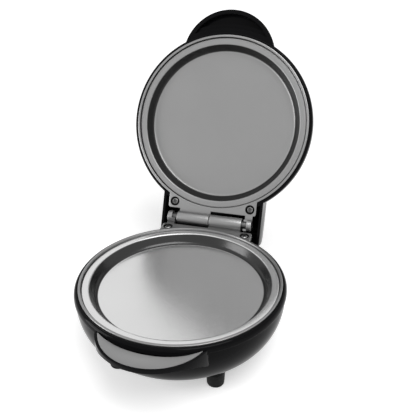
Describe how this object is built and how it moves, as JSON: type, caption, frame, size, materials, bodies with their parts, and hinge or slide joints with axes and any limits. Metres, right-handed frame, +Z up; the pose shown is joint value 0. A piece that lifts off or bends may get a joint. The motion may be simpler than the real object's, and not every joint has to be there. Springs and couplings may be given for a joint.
{
  "type": "sandwich maker",
  "caption": "Round countertop sandwich maker with dished plates in a glossy base and a hinged lid that stands open, on rubber feet.",
  "frame": {"origin": "middle of the bottom of the whole object's box, on the table", "axes": "+Z up, +Y from the front lip to the hinge, +X to the right as seen from the front"},
  "size_m": [0.132, 0.226, 0.1864],
  "materials": {
    "gloss_black": "glossy black moulded plastic",
    "silver_trim": "satin silver paint on plastic",
    "satin_metal": "satin cast metal",
    "coated_plate": "grey non-stick coating on cast aluminium",
    "screw_steel": "plated steel",
    "heater_sheath": "dull heater sheath",
    "plated_sheet": "plated sheet steel",
    "light_sheet": "plain aluminium sheet",
    "rubber": "matte black rubber",
    "ceramic": "off-white ceramic or moulded body",
    "lead_sleeve": "glass-fibre sleeve on a lead"
  },
  "bodies": {
    "base": {"base_bowl": "gloss_black", "base_collar": "gloss_black", "front_trim": "silver_trim", "base_hinge_frame": "satin_metal", "base_ear_screw_left": "screw_steel", "base_ear_screw_right": "screw_steel", "lower_plate": "coated_plate", "lower_heater": "heater_sheath", "lower_reflector": "plated_sheet", "lower_plate_screw_1": "screw_steel", "lower_plate_screw_2": "screw_steel", "lower_plate_screw_3": "screw_steel", "foot_front_left": "rubber", "foot_front_right": "rubber", "foot_rear_left": "rubber", "foot_rear_right": "rubber", "cord_inlet_bushing": "rubber", "hinge_pin_left": "screw_steel", "thermostat": "ceramic", "thermal_fuse": "screw_steel", "terminal_block": "ceramic", "live_lead": "lead_sleeve", "thermostat_lead": "lead_sleeve", "heater_lead": "lead_sleeve", "hinge_lead": "lead_sleeve"},
    "lid": {"lid_housing": "gloss_black", "lid_hinge_frame": "satin_metal", "lid_ear_screw_left": "screw_steel", "lid_ear_screw_right": "screw_steel", "upper_plate": "coated_plate", "upper_heater": "heater_sheath", "upper_reflector": "light_sheet", "upper_plate_screw_1": "screw_steel", "upper_plate_screw_2": "screw_steel", "upper_plate_screw_3": "screw_steel", "hinge_pin_right": "screw_steel", "lid_lead": "lead_sleeve"}
  },
  "joints": [
    {"name": "lid_hinge", "type": "hinge", "parent": "base", "child": "lid", "pos_m": [0, 0.03973, 0.0492], "axis": [1, 0, 0], "range_deg": [0, 114.9]}
  ]
}
